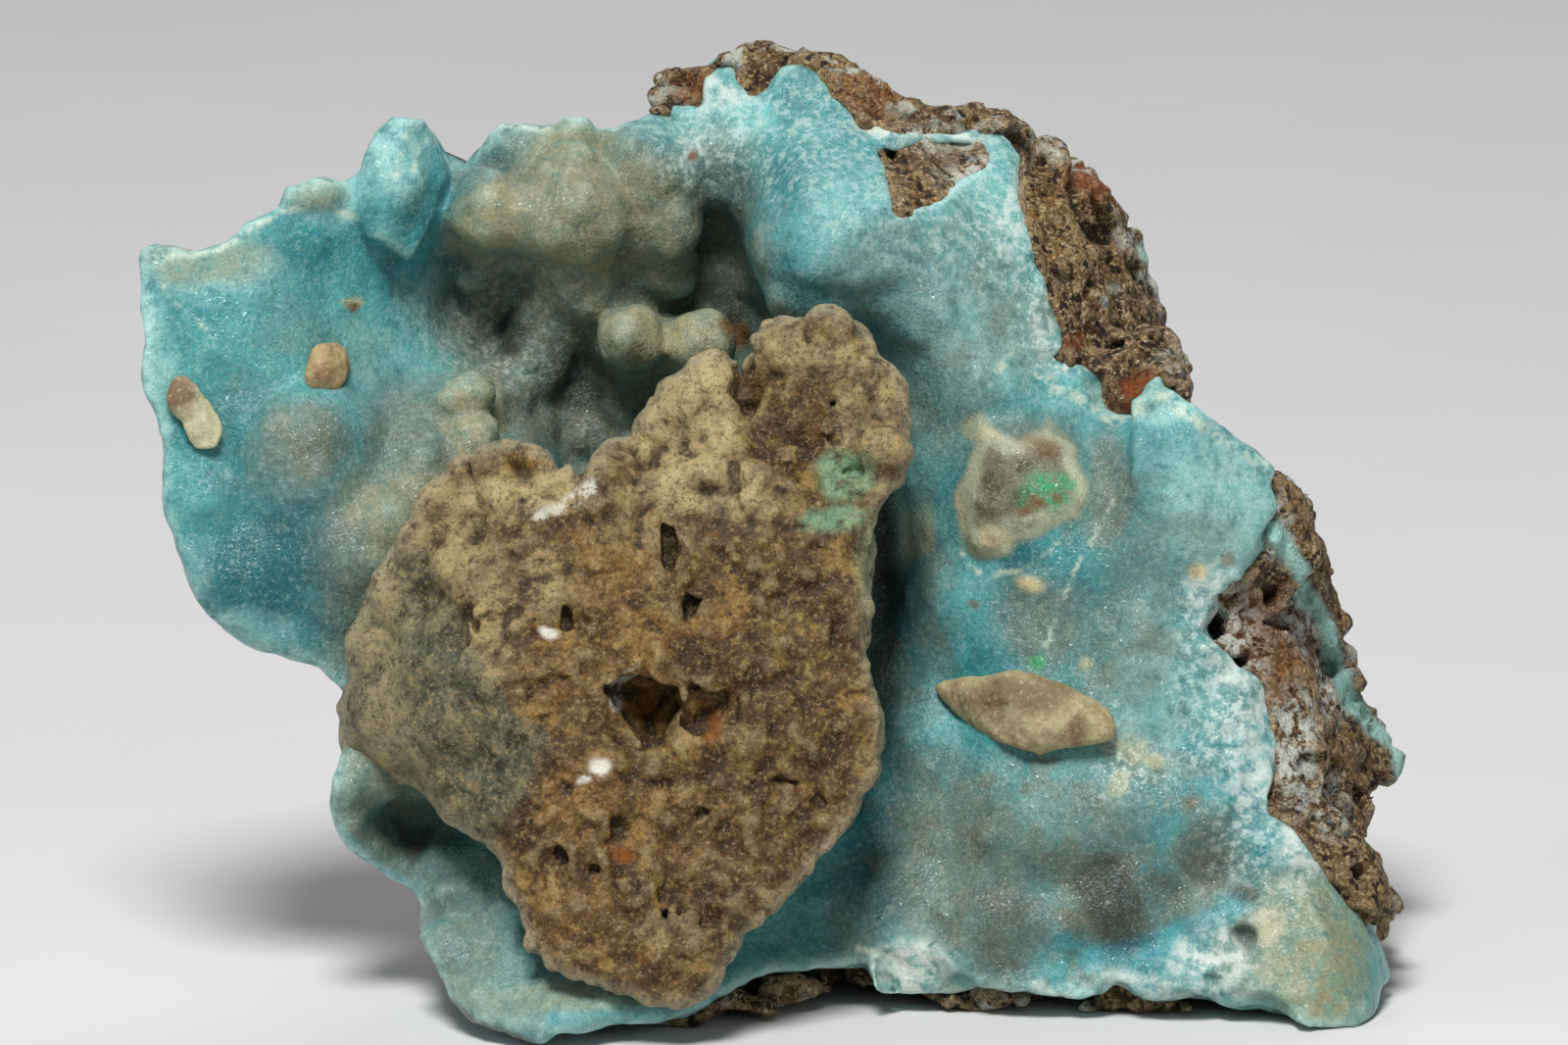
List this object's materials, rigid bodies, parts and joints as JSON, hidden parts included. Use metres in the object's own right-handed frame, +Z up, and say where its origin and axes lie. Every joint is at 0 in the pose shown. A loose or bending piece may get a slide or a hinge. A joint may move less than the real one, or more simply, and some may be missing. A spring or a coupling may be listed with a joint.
{
  "type": "hemimorphite mineral specimen",
  "caption": "Cabinet mineral specimen: a turquoise botryoidal hemimorphite crust on brown limonite, with a druse-coated rock fragment across the open vug.",
  "frame": {"origin": "on the ground, under the middle of the specimen's outline", "axes": "+X to the right along the face, +Y back from the face, +Z up"},
  "size_m": [0.1301, 0.077, 0.092],
  "materials": {
    "limonite": "porous brown limonite with ochre and rust patches, matt",
    "hemimorphite": "translucent turquoise crust under a fine sparkling druse",
    "block_rock": "brown limonite under a thin grey to clear crystal druse",
    "cream_fragment": "cream to tan rock fragments, matt"
  },
  "bodies": {
    "root": {"limonite_matrix": "limonite", "hemimorphite_crust": "hemimorphite", "front_block": "block_rock", "cream_chip": "cream_fragment", "tan_chip": "cream_fragment", "cream_splinter": "cream_fragment"}
  },
  "joints": []
}
